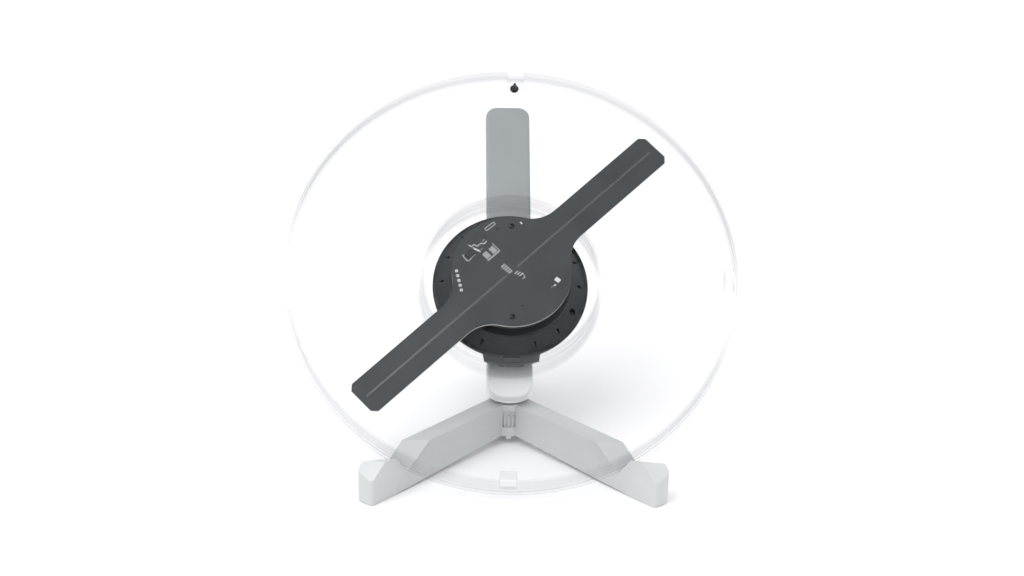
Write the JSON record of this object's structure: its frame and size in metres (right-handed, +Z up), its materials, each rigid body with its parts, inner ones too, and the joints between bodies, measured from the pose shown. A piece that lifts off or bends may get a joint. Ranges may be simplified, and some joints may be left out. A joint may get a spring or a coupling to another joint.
{
  "type": "desktop hologram fan",
  "caption": "Desktop hologram fan: a two-bladed LED circuit board spins on a flat motor base inside a round clear cover, leaning back on a grey moulded tripod stand.",
  "frame": {"origin": "on the floor, under the middle of the whole object", "axes": "+X to the object's right as seen from behind its face, along the cover's width; the face looks towards -Y and up; +Z up"},
  "size_m": [0.472, 0.382, 0.3492],
  "materials": {
    "circuit_board": "black solder-mask circuit board, satin",
    "led": "clear-lensed LED packages in a single row",
    "black_plastic": "fine-textured black ABS",
    "black_gloss": "black component plastic",
    "clear": "clear moulded acrylic, polished",
    "grey_plastic": "light grey moulded ABS, fine texture",
    "dark_steel": "black-oxide steel screws",
    "steel": "turned and ground steel",
    "lamination": "stacked electrical steel",
    "copper": "enamelled copper wire",
    "magnet": "nickel-plated magnet ring",
    "brass": "turned brass",
    "green_board": "driver circuit board",
    "rubber": "soft rubber pad"
  },
  "bodies": {
    "stand": {"back_cover": "clear", "bar_screws": "steel", "base_back_plate": "black_plastic", "base_board": "green_board", "base_housing": "black_plastic", "base_screws": "dark_steel", "bearing_back": "steel", "bearing_front": "steel", "bearing_tube": "brass", "cover_screws": "dark_steel", "dc_inlet": "black_gloss", "front_cover": "clear", "hub_plate": "steel", "hub_screws": "steel", "left_foot_pad": "rubber", "left_leg": "grey_plastic", "post_screws": "steel", "rear_foot_pad": "rubber", "rear_leg": "grey_plastic", "right_foot_pad": "rubber", "right_leg": "grey_plastic", "stand_hub": "grey_plastic", "stand_post": "grey_plastic", "stator_core": "lamination", "stator_windings": "copper", "support_bar": "grey_plastic", "transmitter_coil": "copper"},
    "rotor": {"led_board": "circuit_board", "led_rows": "led", "board_screws": "dark_steel", "board_chips": "black_gloss", "rotor_drum": "black_plastic", "rotor_yoke": "steel", "rotor_magnets": "magnet", "motor_shaft": "steel", "receiver_coil": "copper"},
    "power_key": {"power_key": "black_gloss"}
  },
  "joints": [
    {"name": "rotor_spin", "type": "hinge", "parent": "stand", "child": "rotor", "pos_m": [0, -0.01735, 0.18205], "axis": [0, -0.6947, 0.7193], "continuous": true},
    {"name": "power_key_press", "type": "slide", "parent": "stand", "child": "power_key", "axis": [0, 0.6947, -0.7193], "range_m": [0, 0.0012], "stiffness_N_per_m": 400, "springref_m": -0.0008}
  ]
}
